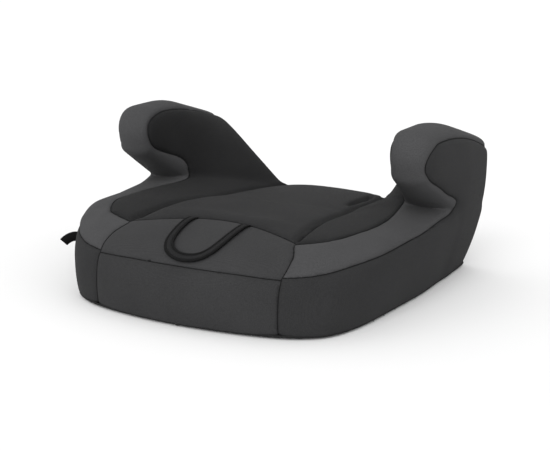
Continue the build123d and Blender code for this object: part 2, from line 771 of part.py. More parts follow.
with BuildPart() as pull_loop:
    bow_plane = Plane(
        origin=(0, strap_seam_y, strap_z), x_dir=(1, 0, 0), z_dir=(0, -bow_slope, 1)
    )
    with BuildSketch(bow_plane.offset(-strap_thickness / 2)):
        with BuildLine() as bow_outline:
            bow_spline(half)
            Line((strap_leg_x + half, 0), (-strap_leg_x - half, 0))
        make_face()
        with BuildLine():
            bow_spline(-half)
            Line((strap_leg_x - half, 0), (-strap_leg_x + half, 0))
        make_face(mode=Mode.SUBTRACT)
    extrude(amount=strap_thickness)
    # legs along the direction of pull
    for x in (-strap_leg_x, strap_leg_x):
        with Locations((x, strap_seam_y, strap_z)):
            Box(strap_width, bar_y - strap_seam_y, strap_thickness, align=(Align.CENTER, Align.MIN, Align.CENTER))
        with Locations(Location((x, bar_y, bar_z), (0, 90, 0))):
            Cylinder(eye_radius, strap_width)
    with Locations(Location((0, bar_y, bar_z), (0, 90, 0))):
        Cylinder(hook_pin_radius + 0.05, 200, mode=Mode.SUBTRACT)
save(pull_loop.part, "pull_loop")
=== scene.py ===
import json
from math import cos, pi, radians, sin

import bpy
import numpy as np
from mathutils import Matrix, Vector
from mathutils.kdtree import KDTree


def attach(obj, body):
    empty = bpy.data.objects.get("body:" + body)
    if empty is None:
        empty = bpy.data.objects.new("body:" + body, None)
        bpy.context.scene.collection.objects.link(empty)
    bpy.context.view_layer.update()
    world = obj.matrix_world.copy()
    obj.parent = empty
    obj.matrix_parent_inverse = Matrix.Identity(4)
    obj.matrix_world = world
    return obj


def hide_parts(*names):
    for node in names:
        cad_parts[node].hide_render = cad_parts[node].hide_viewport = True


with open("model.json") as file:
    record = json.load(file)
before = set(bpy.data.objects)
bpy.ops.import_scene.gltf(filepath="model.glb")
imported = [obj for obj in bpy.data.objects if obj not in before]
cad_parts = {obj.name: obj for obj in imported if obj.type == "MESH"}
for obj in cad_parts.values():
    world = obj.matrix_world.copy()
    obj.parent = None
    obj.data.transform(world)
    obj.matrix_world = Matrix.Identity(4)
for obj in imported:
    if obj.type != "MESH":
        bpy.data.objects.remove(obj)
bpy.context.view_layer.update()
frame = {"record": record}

MM = 0.001

# ---- body: where it ends, and how softly its surfaces run into each other
cover_bottom = 3.0
rear_y = 195.6
front_radius = 450.0
front_middle_y = -200.0
front_end_y = 60.0          # behind this the front's arc has no say
corner_round = 105.0        # softness of the front corners in plan
rear_round = 26.0
bottom_round = 10.0
arm_round = 42.0
arm_side_round = 10.0
shoulder_round = 46.0
blend_round = 12.0
seat_crown_power = 2.6
skew_x, skew_width = 80.0, 42.0
grid_step = 3.0


def curve(*points):
    """A smooth function of one variable through (position, value) points, level beyond both ends."""
    at = np.array([p[0] for p in points], float)
    value = np.array([p[1] for p in points], float)
    gap = np.diff(at)
    slope = np.diff(value) / gap
    tangent = np.zeros(len(at))
    same_way = slope[1:] * slope[:-1] > 0
    mean = 2 * slope[1:] * slope[:-1] / np.where(same_way, slope[1:] + slope[:-1], 1)
    tangent[1:-1] = np.where(same_way, mean, 0)
    tangent[0], tangent[-1] = slope[0], slope[-1]
    fine = np.linspace(at[0], at[-1], 600)
    i = np.clip(np.searchsorted(at, fine) - 1, 0, len(gap) - 1)
    t = (fine - at[i]) / gap[i]
    fine_value = (
        value[i] * (1 + 2 * t) * (1 - t) ** 2
        + gap[i] * tangent[i] * t * (1 - t) ** 2
        + value[i + 1] * t**2 * (3 - 2 * t)
        + gap[i] * tangent[i + 1] * t**2 * (t - 1)
    )
    return lambda v: np.interp(v, fine, fine_value)


def smooth_max(a, b, k):
    near = np.maximum(1 - np.abs(a - b) / (0.8 * k), 0)
    return np.maximum(a, b) + near**3 * k / 8


def smooth_min(a, b, k):
    return -smooth_max(-a, -b, k)


# half width of the body: at the bottom by y, and how much further out it flares by z and y
bottom_half_width = curve((-200, 161.5), (-136, 170), (-44, 181), (60, 190.5), (198, 192))
flare_by_z = curve((0, 0), (20, 8), (45, 16), (70, 22), (100, 28), (130, 33), (165, 32), (190, 25), (205, 18))
flare_by_y = curve((-200, 0.35), (-136, 0.5), (-86, 0.8), (-35, 0.92), (60, 1), (198, 1))
front_lean = curve((0, 1.5), (25, -1), (45, 0), (66, 4), (110, 12))

# the seat and the rails, by y: height at the middle, edge of the seat cloth, foot and top of
# the arm's inner wall
middle_z = curve(
    (-200, 58), (-170, 73), (-140, 84), (-112, 92.5), (-80, 96.5), (-30, 97.5),
    (12, 97), (60, 92.5), (130, 88.5), (198, 83.5),
)
seat_edge_x = curve(
    (-200, 111), (-182, 112), (-168, 114), (-153, 113), (-126, 103), (-80, 99),
    (0, 95), (45, 89.5), (128, 81), (165, 69), (198, 52),
)
seat_edge_z = curve(
    (-200, 57), (-176, 69), (-150, 81), (-126, 90), (-90, 94), (-50, 95.5),
    (0, 92), (45, 86.5), (90, 84), (128, 82), (198, 78),
)
wall_foot_x = curve(
    (-200, 140), (-119, 142), (-71, 160), (-6, 160), (52, 153), (76, 148),
    (120, 122), (158, 93), (198, 53),
)
wall_foot_z = curve(
    (-200, 57), (-176, 70), (-140, 88), (-119, 95), (-71, 99), (52, 98.5),
    (80, 99.5), (120, 95), (158, 87), (198, 80),
)
rail_fall = curve((-20, 0.2), (50, 0.08), (80, 0.0))    # how steeply the rail drops outwards
wall_top_x = curve((-60, 164), (-20, 160), (20, 156.5), (60, 156), (140, 158), (198, 161))
wall_top_z = curve((-60, 190), (60, 190), (120, 187), (158, 179), (198, 168))
arm_outer_x = curve((-40, 202), (0, 208), (60, 215), (120, 220), (198, 220))
rear_skew = curve((80, 0), (130, 8), (198, 30))     # the right rear of the seat sits further out
edge_softness = curve((-200, 32), (-120, 36), (40, 44), (110, 30), (180, 16))

# side view of the arm above the rail (y, z, corner radius)
arm_corners = (
    (86, 92.5, 10), (-5, 142, 18), (-24, 199, 30), (74, 199.5, 110), (260, 153, 0),
    (260, -30, 0), (104, -30, 0),
)


def rounded_loop(corners, steps=8):
    """A closed outline with each corner replaced by an arc of its radius."""
    found = []
    count = len(corners)
    for i, (y, z, radius) in enumerate(corners):
        here = np.array((y, z), float)
        if not radius:
            found.append(here)
            continue
        before = np.array(corners[i - 1][:2], float) - here
        after = np.array(corners[(i + 1) % count][:2], float) - here
        before /= np.linalg.norm(before)
        after /= np.linalg.norm(after)
        half_angle = np.arccos(np.clip(before @ after, -1, 1)) / 2
        centre = here + (before + after) / np.linalg.norm(before + after) * radius / sin(half_angle)
        start = here + before * radius / np.tan(half_angle) - centre
        end = here + after * radius / np.tan(half_angle) - centre
        turn = np.arctan2(start[0] * end[1] - start[1] * end[0], start @ end)
        for t in np.linspace(0, turn, steps):
            swung_y = start[0] * cos(t) - start[1] * sin(t)
            swung_z = start[0] * sin(t) + start[1] * cos(t)
            found.append(centre + np.array((swung_y, swung_z)))
    return np.array(found)


def between(a, b, c, d, t):
    """A point between b and c on the Catmull-Rom line through four points."""
    square = (2 * a - 5 * b + 4 * c - d) * t**2
    cube = (3 * b - a - 3 * c + d) * t**3
    return 0.5 * (2 * b + (c - a) * t + square + cube)


def smooth_loop(points, steps=6):
    """A closed Catmull-Rom outline through the points."""
    p = np.array(points, float)
    a, b, c, d = np.roll(p, 1, 0), p, np.roll(p, -1, 0), np.roll(p, -2, 0)
    rows = [between(a, b, c, d, t) for t in np.arange(steps) / steps]
    return np.stack(rows, 1).reshape(-1, 2)


def loop_distance(loop, u, v):
    """Distance to a closed outline, negative inside it."""
    near = np.full(len(u), 1e9)
    inside = np.zeros(len(u), bool)
    for a, b in zip(loop, np.roll(loop, -1, 0)):
        edge = b - a
        t = np.clip(((u - a[0]) * edge[0] + (v - a[1]) * edge[1]) / (edge @ edge + 1e-12), 0, 1)
        near = np.minimum(near, np.hypot(u - a[0] - t * edge[0], v - a[1] - t * edge[1]))
        crosses = (a[1] > v) != (b[1] > v)
        level = edge[1] if abs(edge[1]) > 1e-9 else 1e-9
        inside ^= crosses & (u < a[0] + (v - a[1]) / level * edge[0])
    return np.where(inside, -near, near)


def loop_table(loop, low, high):
    us = np.arange(low[0], high[0] + 1.0)
    vs = np.arange(low[1], high[1] + 1.0)
    grid_u, grid_v = np.meshgrid(us, vs, indexing="ij")
    table = loop_distance(loop, grid_u.ravel(), grid_v.ravel()).reshape(grid_u.shape)

    def look_up(u, v):
        i = np.clip(u - low[0], 0, len(us) - 1.001)
        j = np.clip(v - low[1], 0, len(vs) - 1.001)
        i0, j0 = i.astype(int), j.astype(int)
        s, t = i - i0, j - j0
        return (
            table[i0, j0] * (1 - s) * (1 - t) + table[i0 + 1, j0] * s * (1 - t)
            + table[i0, j0 + 1] * (1 - s) * t + table[i0 + 1, j0 + 1] * s * t
        )

    return look_up


arm_side = loop_table(rounded_loop(arm_corners), (-215, -10), (215, 215))


def half_width(y, z):
    return bottom_half_width(y) + flare_by_z(z) * flare_by_y(y)


def top_height(x, y):
    """Height of the seat, the inner panels and the rails."""
    edge, edge_z, foot, foot_z = seat_edge_x(y), seat_edge_z(y), wall_foot_x(y), wall_foot_z(y)
    seat = edge_z + (middle_z(y) - edge_z) * (1 - np.clip(x / edge, 0, 1) ** seat_crown_power)
    across = np.clip((x - edge) / np.maximum(foot - edge, 4), 0, 1)
    side = edge_z + (foot_z - edge_z) * across - rail_fall(y) * np.maximum(x - foot, 0)
    return np.where(x < edge, seat, side)


def inner_wall(y, z):
    foot, foot_z, top, top_z = wall_foot_x(y), wall_foot_z(y), wall_top_x(y), wall_top_z(y)
    return foot + (top - foot) * (z - foot_z) / (top_z - foot_z)


def skewed_x(p):
    """Distance from the middle plane, with the right rear of the seat drawn outwards."""
    x = np.abs(p[:, 0])
    return x - rear_skew(p[:, 1]) * np.exp(-(((x - skew_x) / skew_width) ** 2)) * (p[:, 0] > 0)


def body_field(p):
    """Signed distance-like field of the whole cover, negative inside."""
    x, y, z = skewed_x(p), p[:, 1], p[:, 2]
    front = np.hypot(x, y - front_middle_y - front_radius - front_lean(z)) - front_radius
    front = np.where(y > front_end_y, front_middle_y, front)
    wall = smooth_max(x - half_width(y, z), front, corner_round)
    wall = smooth_max(wall, y - rear_y, rear_round)
    base = smooth_max(wall, z - top_height(x, y), edge_softness(y))
    arm = smooth_max(arm_side(y, z), inner_wall(y, z) - x, arm_round)
    arm_side_wall = smooth_max(wall, x - arm_outer_x(y), arm_side_round)
    arm = smooth_max(arm, arm_side_wall, shoulder_round)
    body = smooth_min(base, arm, blend_round)
    return smooth_max(body, cover_bottom - z, bottom_round)


# ---- seams
skirt_seam_x = 113.0
skirt_seam_z = curve((0, 64), (60, 64), (113, 63))
seat_front_y = -97.0
seat_corner = (103.0, -126.0)
back_seam_y = 192.0
hem_height = 4.6
window_x, window_z, window_half = 140.0, 31.0, 18.4
outer_seam = smooth_loop((
    (-260, 60), (-200, 61), (-182, 64), (-168, 67.5), (-150, 72), (-135, 75), (-111, 78),
    (-71, 82.5), (-47, 84), (-13, 85.5), (10, 87.5), (37, 90), (60, 92.5), (76, 95.5),
    (86, 101), (84, 108.5), (73, 114.5), (56, 121), (36, 131.5), (13, 142), (1, 151),
    (-3, 161), (0, 172), (11, 180.5), (28, 185.5), (73, 185), (120, 178), (160, 168),
    (200, 155), (260, 138), (260, -20), (260, -60), (0, -60), (-260, -60), (-260, 0),
))
inner_seam = smooth_loop((
    (260, 60), (180, 60), (92, 60), (89, 88), (87, 98), (80, 111), (72, 123), (58, 131),
    (35, 138.5), (11, 148), (1, 159), (-2, 173), (3, 184), (20, 191), (46, 193), (90, 189),
    (150, 177), (200, 163), (260, 146), (260, 100),
))
rail_zone = np.array((
    (106, -129), (122, -124.5), (138, -119), (148, -105), (156, -88), (161, -70), (163.5, -40), (163, -6),
    (159, 25), (154, 52), (150, 75), (150, 95), (-10, 95), (-10, -129),
), float)
outer_side = loop_table(outer_seam, (-215, -10), (215, 215))
inner_side = loop_table(inner_seam, (-215, -10), (215, 215))
rail_plan = loop_table(rail_zone, (-5, -215), (240, 215))
rail_zone_top = 114.0
arm_middle_x = 182.0


def seat_seam(p):
    return skewed_x(p) - seat_edge_x(p[:, 1])


def seat_front_seam(p):
    return p[:, 1] - seat_front_y - (seat_corner[1] - seat_front_y) * (p[:, 0] / seat_corner[0]) ** 2


def skirt_top_seam(p):
    return p[:, 2] - skirt_seam_z(np.abs(p[:, 0]))


def skirt_side_seam(p):
    return np.abs(p[:, 0]) - skirt_seam_x


def outer_panel_seam(p):
    return outer_side(p[:, 1], p[:, 2])


def inner_panel_seam(p):
    on_rail = np.maximum(rail_plan(np.abs(p[:, 0]), p[:, 1]), p[:, 2] - rail_zone_top)
    return np.minimum(on_rail, inner_side(p[:, 1], p[:, 2]))


def hem_line(p):
    return p[:, 2] - hem_height


def back_seam(p):
    return p[:, 1] - back_seam_y


def window(p):
    """The square openings in the back for the two connectors."""
    return np.maximum(np.abs(np.abs(p[:, 0]) - window_x), np.abs(p[:, 2] - window_z)) - window_half


def on_top(p):
    return p[:, 2] > 60


def on_outside(p):
    x = np.abs(p[:, 0])
    return (x > arm_middle_x) | ((p[:, 1] < -95) & (x > skirt_seam_x - 4)) | ((p[:, 1] < -40) & (x > 168))


def on_inside(p):
    x = np.abs(p[:, 0])
    return (p[:, 2] > 60) & (x < arm_middle_x) & (seat_seam(p) > -1)


seams = (
    (hem_line, lambda p: p[:, 2] < 20),
    (back_seam, lambda p: p[:, 2] > -50),
    (window, lambda p: p[:, 1] > 185),
    (skirt_side_seam, lambda p: (p[:, 1] < -120) & (p[:, 2] < 70)),
    (skirt_top_seam, lambda p: (p[:, 1] < -150) & (np.abs(p[:, 0]) < skirt_seam_x + 4)),
    (seat_seam, on_top),
    (seat_front_seam, lambda p: (p[:, 2] > 60) & (np.abs(p[:, 0]) < seat_corner[0] + 3)),
    (outer_panel_seam, on_outside),
    (inner_panel_seam, on_inside),
)


# ---- meshing
def slope_of(field, p):
    step = 0.5
    columns = []
    for axis in range(3):
        move = np.zeros(3)
        move[axis] = step
        columns.append((field(p + move) - field(p - move)) / (2 * step))
    return np.stack(columns, 1)


def pull_to_surface(p, rounds=3):
    for _ in range(rounds):
        g = slope_of(body_field, p)
        p = p - g * (body_field(p) / np.maximum((g * g).sum(1), 0.05))[:, None]
    return p


def surface_nets(field, low, high, step):
    """Quads around the zero surface of a field on a regular grid."""
    axes = [np.arange(low[i], high[i] + step, step) for i in range(3)]
    shape = tuple(len(a) for a in axes)
    grid = np.stack(np.meshgrid(*axes, indexing="ij"), -1)
    value = np.concatenate([field(layer.reshape(-1, 3)) for layer in grid]).reshape(shape)
    solid = value < 0
    corners = [(i, j, k) for i in (0, 1) for j in (0, 1) for k in (0, 1)]
    cells = tuple(n - 1 for n in shape)

    def at(array, corner):
        i, j, k = corner
        return array[i:i + cells[0], j:j + cells[1], k:k + cells[2]]

    total = np.zeros(cells + (3,))
    hits = np.zeros(cells)
    for a in corners:
        for axis in range(3):
            if a[axis]:
                continue
            b = tuple(1 if n == axis else a[n] for n in range(3))
            crossed = at(solid, a) != at(solid, b)
            fa, fb = at(value, a), at(value, b)
            t = np.where(crossed, fa / np.where(crossed, fa - fb, 1), 0)
            point = np.array(a, float) + np.eye(3)[axis] * t[..., None]
            total += np.where(crossed[..., None], point, 0)
            hits += crossed
    used = hits > 0
    index = np.full(cells, -1)
    index[used] = np.arange(used.sum())
    place = np.argwhere(used) + total[used] / hits[used][:, None]
    points = np.array(low) + place * step
    faces = []
    for axis in range(3):
        u, v = (axis + 1) % 3, (axis + 2) % 3
        first = np.take(solid, range(shape[axis] - 1), axis)
        second = np.take(solid, range(1, shape[axis]), axis)
        for cell in np.argwhere(first != second):
            if not 0 < cell[u] < cells[u] or not 0 < cell[v] < cells[v]:
                continue
            ring = []
            for du, dv in ((0, 0), (1, 0), (1, 1), (0, 1)):
                c = cell.copy()
                c[u] -= du
                c[v] -= dv
                ring.append(index[tuple(c)])
            faces.append(ring if first[tuple(cell)] else ring[::-1])
    return points, faces


def neighbour_average(points, faces):
    total = np.zeros_like(points)
    count = np.zeros(len(points))
    quads = np.array(faces)
    for i in range(4):
        a, b = quads[:, i], quads[:, (i + 1) % 4]
        np.add.at(total, a, points[b])
        np.add.at(count, a, 1)
        np.add.at(total, b, points[a])
        np.add.at(count, b, 1)
    return total / count[:, None]


def snap_to_seams(p):
    """Moves points that lie close to a seam onto it, along the surface."""
    for field, where in seams:
        value = field(p)
        near = (np.abs(value) < snap_reach) & where(p)
        for _ in range(2):
            q = p[near]
            g = slope_of(field, q)
            n = slope_of(body_field, q)
            n /= np.linalg.norm(n, axis=1)[:, None]
            along = g - n * (g * n).sum(1)[:, None]
            strength = np.maximum((along * along).sum(1), 0.15)
            p[near] = q - along * (field(q) / strength)[:, None]
    return p


def cut_faces(points, faces, field, where):
    """Splits every face that a seam crosses, so that the seam runs along edges."""
    value = field(points)
    allowed = where(points)
    value = np.where(np.abs(value) < on_seam, 0, value)
    new_points, made, found = [], {}, []
    for face in faces:
        side = [value[i] for i in face]
        if min(side) >= 0 or max(side) <= 0 or not all(allowed[i] for i in face):
            found.append(face)
            continue
        low_part, high_part = [], []
        for n, a in enumerate(face):
            b = face[(n + 1) % len(face)]
            if value[a] <= 0:
                low_part.append(a)
            if value[a] >= 0:
                high_part.append(a)
            if value[a] * value[b] < 0:
                key = (min(a, b), max(a, b))
                if key not in made:
                    t = value[a] / (value[a] - value[b])
                    made[key] = len(points) + len(new_points)
                    new_points.append(points[a] * (1 - t) + points[b] * t)
                low_part.append(made[key])
                high_part.append(made[key])
        found += [part for part in (low_part, high_part) if len(part) > 2]
    if new_points:
        points = np.concatenate([points, np.array(new_points)])
    return points, found


def panel_of(p):
    """The name of the panel that each point on the cover belongs to."""
    x = np.abs(p[:, 0])
    hand = np.where(p[:, 0] < 0, "left_", "right_")
    name = np.char.add(hand, "arm_band").astype("U24")
    inner = on_inside(p) & (inner_panel_seam(p) < 0)
    name[inner] = np.char.add(hand, "inner_panel")[inner]
    outer = on_outside(p) & (outer_panel_seam(p) < 0)
    name[outer] = np.char.add(hand, "outer_panel")[outer]
    seat = on_top(p) & (seat_seam(p) < 0)
    name[seat] = "seat_panel"
    name[seat & (seat_front_seam(p) < 0)] = "front_top_panel"
    skirt = (x < skirt_seam_x) & (skirt_top_seam(p) < 0) & (p[:, 1] < -150)
    name[skirt] = "front_skirt"
    name[back_seam(p) > 0] = "back_panel"
    name[hem_line(p) < 0] = "open"
    name[(window(p) < 0) & (p[:, 1] > 185)] = "open"
    return name


low_corner = (-234, -208, -4)
high_corner = (234, 206, 210)
snap_reach = 0.34 * grid_step
on_seam = 0.02
points, faces = surface_nets(body_field, low_corner, high_corner, grid_step)
points = pull_to_surface(points)
for _ in range(4):
    points = pull_to_surface(0.5 * points + 0.5 * neighbour_average(points, faces), 1)
points = pull_to_surface(snap_to_seams(points), 1)
for field, where in seams:
    points, faces = cut_faces(points, faces, field, where)
points = pull_to_surface(points, 2)
centres = np.array([points[face].mean(0) for face in faces])
face_panel = panel_of(centres)

# seam edges lie between faces of different panels
edge_panels = {}
for face, panel in zip(faces, face_panel):
    for a, b in zip(face, face[1:] + face[:1]):
        edge_panels.setdefault((min(a, b), max(a, b)), set()).add(panel)
seam_edges = [
    (edge, pair) for edge, pair in edge_panels.items() if len(pair) == 2 and "open" not in pair
]


# ---- relief: panels crown between their seams, and the seams draw in
seat_groove = 5.0           # between the seat cloth and the arm's inner cloth
other_groove = 1.5
crown_height = 2.2
crown_reach = 16.0


def kind_of(panel):
    """The panel's name without its side."""
    return panel.split("_", 1)[1] if panel.startswith(("left_", "right_")) else panel


def seam_reach(p):
    """For each point, the distance to the nearest seam and the depth of its groove."""
    tree = KDTree(len(seam_edges) * 4)
    seam_depth = []
    for (a, b), pair in seam_edges:
        beside_seat = {kind_of(name) for name in pair} == {"seat_panel", "inner_panel"}
        for t in (0, 0.25, 0.5, 0.75):
            tree.insert(p[a] * (1 - t) + p[b] * t, len(seam_depth))
            seam_depth.append(seat_groove if beside_seat else other_groove)
    tree.balance()
    nearest = [tree.find(place) for place in p]
    return np.array([n[2] for n in nearest]), np.array([seam_depth[n[1]] for n in nearest])


def bump(distance, width, power=2):
    """One at the middle, falling smoothly to nothing over the width."""
    return np.exp(-((distance / width) ** power))


def seat_fold(p):
    """A soft fold across the seat: a crease, and cloth that lies lower behind it."""
    crease_y = 10 + 0.36 * np.maximum(p[:, 0] - 18, 0)
    past = p[:, 1] - crease_y
    behind = np.maximum(past, 0)
    sunk = (1 - np.exp(-behind / 5)) * np.exp(-behind / 45)
    return (-3.8 * bump(past, 2.4) - 4.5 * sunk) * bump(p[:, 0] - 30, 52, 4)


def seat_tucks(p):
    """The tucks inside the seat's seams near its rear."""
    tuck_inset = 13.0
    return -11.0 * bump(-seat_seam(p) - tuck_inset, 2.6) * bump(p[:, 1] - 132, 40, 4)


def yoke_roll(p):
    """The padding stands a little higher over the release yoke, behind the loop's seam."""
    return 2.8 * np.exp(-(((p[:, 1] + 86) / 18) ** 2) - (p[:, 0] / 75) ** 4)


seam_distance, depth = seam_reach(points)
normal = slope_of(body_field, points)
normal /= np.linalg.norm(normal, axis=1)[:, None]
groove = depth * bump(seam_distance, 1.6 + 0.6 * depth)
crown = crown_height * (1 - np.exp(-seam_distance / crown_reach))
on_seat = (seat_seam(points) < 0) & (points[:, 2] > 70)
on_upper_side = points[:, 2] > 80
detail = np.where(on_seat, seat_fold(points) + seat_tucks(points), 0)
detail = detail + np.where(on_upper_side, yoke_roll(points), 0)
points = points + normal * (crown - groove + detail)[:, None]


# ---- materials
def shade(name):
    material = bpy.data.materials.new(name)
    material.use_nodes = True
    nodes = material.node_tree.nodes
    return material, nodes, material.node_tree.links, nodes["Principled BSDF"]


def knit_material(name, colour, lighter, roughness=0.92, loop_mm=1.3, relief=0.35, sheen=0.02):
    """Fine matte knitted cloth: small loops, a faint melange and slow variation in tone."""
    material, nodes, links, shader = shade(name)
    coordinates = nodes.new("ShaderNodeTexCoord")
    split = nodes.new("ShaderNodeSeparateXYZ")
    scaled = nodes.new("ShaderNodeVectorMath")
    scaled.operation = "SCALE"
    scaled.inputs["Scale"].default_value = 2 * pi / (loop_mm * MM)
    links.new(coordinates.outputs["Object"], scaled.inputs[0])
    links.new(scaled.outputs[0], split.inputs[0])

    def math(operation, a, b=None):
        node = nodes.new("ShaderNodeMath")
        node.operation = operation
        for socket, source in zip(node.inputs, (a, b)):
            if isinstance(source, (int, float)):
                socket.default_value = source
            elif source is not None:
                links.new(source, socket)
        return node.outputs[0]

    waves = [(math("SINE", split.outputs[i]), math("COSINE", split.outputs[i])) for i in range(3)]
    loops = math("MULTIPLY", waves[0][0], waves[1][1])
    loops = math("ADD", loops, math("MULTIPLY", waves[1][0], waves[2][1]))
    loops = math("ADD", loops, math("MULTIPLY", waves[2][0], waves[0][1]))
    melange = nodes.new("ShaderNodeTexNoise")
    melange.inputs["Scale"].default_value = 900
    melange.inputs["Detail"].default_value = 3
    slow = nodes.new("ShaderNodeTexNoise")
    slow.inputs["Scale"].default_value = 14
    slow.inputs["Detail"].default_value = 2
    for noise in (melange, slow):
        links.new(coordinates.outputs["Object"], noise.inputs["Vector"])
    tone = math("ADD", math("MULTIPLY", melange.outputs[0], 0.75), math("MULTIPLY", slow.outputs[0], 0.35))
    tone = math("ADD", tone, math("MULTIPLY", loops, 0.06))
    ramp = nodes.new("ShaderNodeValToRGB")
    ramp.color_ramp.elements[0].position = 0.3
    ramp.color_ramp.elements[0].color = (*colour, 1)
    ramp.color_ramp.elements[1].position = 0.8
    ramp.color_ramp.elements[1].color = (*lighter, 1)
    links.new(tone, ramp.inputs[0])
    links.new(ramp.outputs[0], shader.inputs["Base Color"])
    height = nodes.new("ShaderNodeBump")
    height.inputs["Strength"].default_value = relief
    height.inputs["Distance"].default_value = 0.0004
    links.new(math("ADD", loops, math("MULTIPLY", melange.outputs[0], 1.5)), height.inputs["Height"])
    links.new(height.outputs[0], shader.inputs["Normal"])
    shader.inputs["Roughness"].default_value = roughness
    shader.inputs["Sheen Weight"].default_value = sheen
    shader.inputs["Sheen Roughness"].default_value = 0.5
    shader.inputs["Specular IOR Level"].default_value = 0.08
    return material


def grey(level):
    return (level, level, level * 1.03)


cloth = {
    "charcoal": knit_material("charcoal_cloth", grey(0.0175), grey(0.031)),
    "front_top": knit_material("charcoal_top_cloth", grey(0.022), grey(0.037)),
    # the "outer" cloth is the charcoal cloth made darker: painted shade on the outer panels, which face away
    # from the light
    "outer": knit_material("charcoal_cloth_painted_side_shade", grey(0.0145), grey(0.0265)),
    "dark": knit_material("dark_cloth", grey(0.008), grey(0.016)),
    "grey": knit_material("grey_cloth", grey(0.033), grey(0.055)),
    "seat": knit_material("seat_cloth", grey(0.0125), grey(0.0225)),
}
# the outer panels take the darker copy of the charcoal cloth, and its extra darkness is painted shade
panel_cloth = {
    "front_skirt": "charcoal", "front_top_panel": "front_top", "seat_panel": "seat", "back_panel": "dark",
    "inner_panel": "dark", "outer_panel": "outer", "arm_band": "grey",
}


def hard_material(name, colour, roughness, metal=0.0, grain=300, relief=0.15):
    """Moulded plastic or metal with a fine grain, slight mottling and worn roughness."""
    material, nodes, links, shader = shade(name)
    coordinates = nodes.new("ShaderNodeTexCoord")
    fine = nodes.new("ShaderNodeTexNoise")
    fine.inputs["Scale"].default_value = grain
    fine.inputs["Detail"].default_value = 4
    broad = nodes.new("ShaderNodeTexNoise")
    broad.inputs["Scale"].default_value = 25
    for noise in (fine, broad):
        links.new(coordinates.outputs["Object"], noise.inputs["Vector"])
    tint = nodes.new("ShaderNodeValToRGB")
    tint.color_ramp.elements[0].position = 0.3
    tint.color_ramp.elements[0].color = (*[0.85 * c for c in colour], 1)
    tint.color_ramp.elements[1].position = 0.7
    tint.color_ramp.elements[1].color = (*[min(1.12 * c, 1) for c in colour], 1)
    links.new(broad.outputs[0], tint.inputs[0])
    links.new(tint.outputs[0], shader.inputs["Base Color"])
    worn = nodes.new("ShaderNodeMapRange")
    worn.inputs["To Min"].default_value = roughness - 0.08
    worn.inputs["To Max"].default_value = roughness + 0.1
    links.new(fine.outputs[0], worn.inputs["Value"])
    links.new(worn.outputs[0], shader.inputs["Roughness"])
    height = nodes.new("ShaderNodeBump")
    height.inputs["Strength"].default_value = relief
    height.inputs["Distance"].default_value = 0.0003
    links.new(fine.outputs[0], height.inputs["Height"])
    links.new(height.outputs[0], shader.inputs["Normal"])
    shader.inputs["Metallic"].default_value = metal
    return material


# ---- panels
def make_object(name, vertices, polygons, material, smooth=True):
    mesh = bpy.data.meshes.new(name)
    mesh.from_pydata([tuple(v) for v in vertices], [], polygons)
    mesh.validate()
    for polygon in mesh.polygons:
        polygon.use_smooth = smooth
    mesh.materials.append(material)
    thing = bpy.data.objects.new(name, mesh)
    bpy.context.scene.collection.objects.link(thing)
    return thing


def apply_modifiers(thing):
    graph = bpy.context.evaluated_depsgraph_get()
    mesh = bpy.data.meshes.new_from_object(thing.evaluated_get(graph))
    thing.modifiers.clear()
    thing.data = mesh


def sheet_object(name, places, polygons, material, thickness):
    """A sheet of some of the body's faces, given its thickness inwards."""
    used = sorted({i for face in polygons for i in face})
    renumber = {old: new for new, old in enumerate(used)}
    renumbered = [[renumber[i] for i in face] for face in polygons]
    thing = make_object(name, places[used] * MM, renumbered, material)
    solidify = thing.modifiers.new("thickness", "SOLIDIFY")
    solidify.thickness = thickness * MM
    solidify.offset = -1
    apply_modifiers(thing)
    return thing


# the CAD solids that a panel stands for, where they are more than its namesake
replaced = {
    "seat_panel": ("seat_panel", "seat_foam"),
    "left_arm_band": ("left_arm_band", "left_arm_foam", "left_arm_shell"),
    "right_arm_band": ("right_arm_band", "right_arm_foam", "right_arm_shell"),
}
cloth_thickness = 2.4
for panel in sorted(set(face_panel) - {"open"}):
    chosen = [faces[i] for i in np.flatnonzero(face_panel == panel)]
    cloth_name = panel_cloth[kind_of(panel)]
    thing = sheet_object("cover_" + panel, points, chosen, cloth[cloth_name], cloth_thickness)
    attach(thing, "seat")
    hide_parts(*replaced.get(panel, (panel,)))

# ---- seam welts: a thin cord of dark binding in every seam
def chains(edges):
    """Joins edges that share ends into runs of points."""
    links_of = {}
    for a, b in edges:
        links_of.setdefault(a, []).append(b)
        links_of.setdefault(b, []).append(a)
    used, runs = set(), []
    ends = [v for v, near_v in links_of.items() if len(near_v) != 2]
    for start in ends + list(links_of):
        for step in links_of[start]:
            if (min(start, step), max(start, step)) in used:
                continue
            run = [start]
            here, following = start, step
            while following is not None:
                used.add((min(here, following), max(here, following)))
                run.append(following)
                here, options = following, links_of[following]
                following = None
                if len(options) == 2:
                    fresh = [v for v in options if (min(here, v), max(here, v)) not in used]
                    following = fresh[0] if fresh else None
            runs.append(run)
    return runs


welt_radius = 0.45
welt_stand = 0.25
shortest_run = 4            # points; shorter runs are crumbs where seams meet
welts = bpy.data.curves.new("cover_seam_welts", "CURVE")
welts.dimensions = "3D"
welts.bevel_depth = welt_radius * MM
welts.bevel_resolution = 2
for run in chains([edge for edge, _ in seam_edges]):
    if len(run) < shortest_run:
        continue
    line = points[run] + normal[run] * welt_stand
    for _ in range(4):
        line[1:-1] = 0.5 * line[1:-1] + 0.25 * (line[:-2] + line[2:])
    spline = welts.splines.new("POLY")
    spline.points.add(len(line) - 1)
    spline.points.foreach_set("co", np.concatenate([line * MM, np.ones((len(line), 1))], 1).ravel())
seam_welts = bpy.data.objects.new("cover_seam_welts", welts)
bpy.context.scene.collection.objects.link(seam_welts)
welt_material = knit_material("welt_thread", grey(0.004), grey(0.009), 0.8, 0.8, 0.3, 0.0)
welts.materials.append(welt_material)
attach(seam_welts, "seat")


skin_stand = 2.0            # the finished cover stands about this far outside the body


